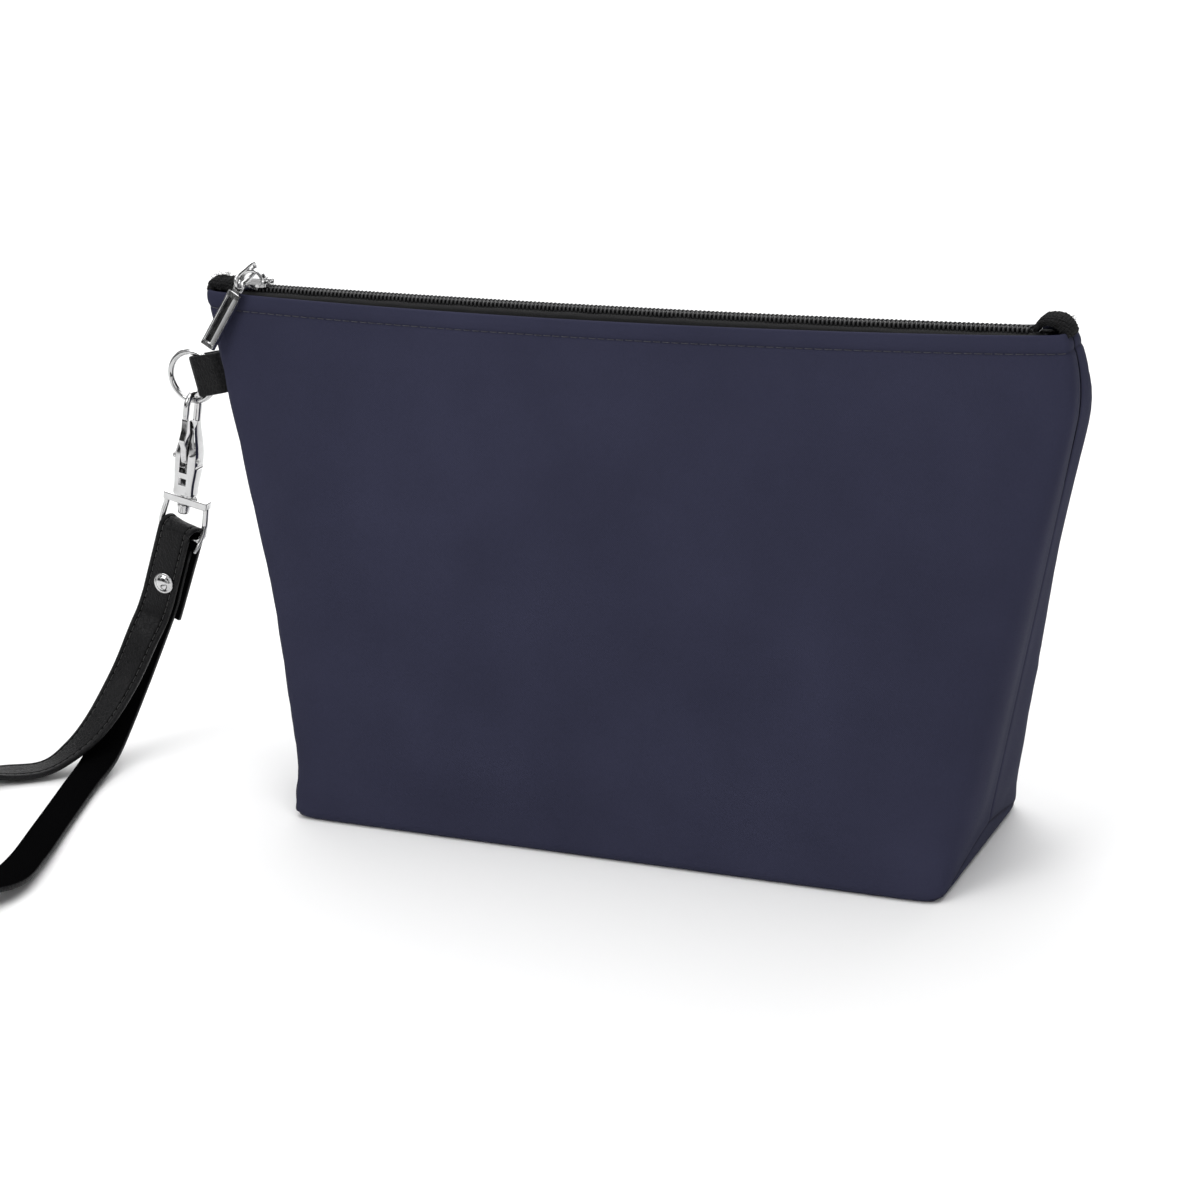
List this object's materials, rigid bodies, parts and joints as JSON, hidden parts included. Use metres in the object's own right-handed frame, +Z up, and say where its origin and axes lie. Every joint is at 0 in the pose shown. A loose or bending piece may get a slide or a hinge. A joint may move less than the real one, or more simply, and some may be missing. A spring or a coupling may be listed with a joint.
{
  "type": "makeup bag",
  "caption": "Soft boxed makeup pouch, wide at its zip and narrow at its base, with a zip slider and pull, a leather side tab and ring, and a wrist strap on a swivel snap hook.",
  "frame": {"origin": "on the table, under the middle of the base", "axes": "+X along the zip, away from the closed slider; the front faces -Y; +Z up"},
  "size_m": [0.3865, 0.1904, 0.1711],
  "materials": {
    "outer_fabric": "matte navy coated fabric with a fine grain",
    "lining_fabric": "plain dark woven lining",
    "black_tape": "black woven tape",
    "coil_nylon": "black nylon coil",
    "bright_metal": "bright nickel plated zinc and wire",
    "spring_steel": "thin spring steel",
    "black_leather": "black grained leather with pressed edge lines"
  },
  "bodies": {
    "pouch": {"front_panel": "outer_fabric", "back_panel": "outer_fabric", "lining_front": "lining_fabric", "lining_back": "lining_fabric", "seam_binding_left": "black_tape", "seam_binding_right": "black_tape", "zip_tape_front": "black_tape", "zip_tape_back": "black_tape", "zip_coil_front": "coil_nylon", "zip_coil_back": "coil_nylon", "zip_top_stops": "bright_metal", "zip_bottom_stop": "bright_metal", "zip_end_left": "black_tape", "zip_end_right": "black_tape", "ring_tab": "black_leather"},
    "slider": {"slider_body": "bright_metal", "slider_bail": "bright_metal"},
    "link": {"pull_link": "bright_metal"},
    "pull": {"pull_bar": "bright_metal"},
    "ring": {"ring": "bright_metal"},
    "hook": {"hook_body": "bright_metal", "swivel_post": "bright_metal", "gate_pin": "bright_metal", "gate_spring": "spring_steel"},
    "gate": {"hook_gate": "bright_metal"},
    "loop": {"d_loop": "bright_metal"},
    "strap": {"strap_fold": "black_leather", "rivet_cap_front": "bright_metal", "rivet_cap_back": "bright_metal", "rivet_post": "bright_metal", "wrist_strap": "black_leather"}
  },
  "joints": [
    {"name": "zip_slide", "type": "slide", "parent": "pouch", "child": "slider", "axis": [1, 0, 0], "range_m": [0, 0.248]},
    {"name": "link_flip", "type": "hinge", "parent": "slider", "child": "link", "pos_m": [-0.1305, 0, 0.1688], "axis": [1, 0, 0], "range_deg": [-204, 0]},
    {"name": "pull_swing", "type": "hinge", "parent": "link", "child": "pull", "pos_m": [-0.1305, -0.00841, 0.16516], "axis": [0, 0.9563, -0.2924], "range_deg": [-90, 50]},
    {"name": "ring_turn", "type": "hinge", "parent": "pouch", "child": "ring", "pos_m": [-0.1565, 0, 0.1323], "axis": [0, 1, 0], "range_deg": [-4, 100]},
    {"name": "hook_swing", "type": "hinge", "parent": "ring", "child": "hook", "pos_m": [-0.1573, 0, 0.12415], "axis": [1, 0, 0], "range_deg": [-50, 50]},
    {"name": "gate_press", "type": "hinge", "parent": "hook", "child": "gate", "pos_m": [-0.16146, -0.0006, 0.10459], "axis": [0.9781, 0, -0.2079], "range_deg": [-13, 0], "stiffness_Nm_per_rad": 0.02, "springref_deg": 17.19},
    {"name": "swivel", "type": "hinge", "parent": "hook", "child": "loop", "pos_m": [-0.16458, 0.0005, 0.08991], "axis": [0.2079, 0, 0.9781], "range_deg": [-120, 30]},
    {"name": "strap_swing", "type": "hinge", "parent": "loop", "child": "strap", "pos_m": [-0.16728, 0.0005, 0.0772], "axis": [0.9781, 0, -0.2079], "range_deg": [-40, 40]}
  ]
}
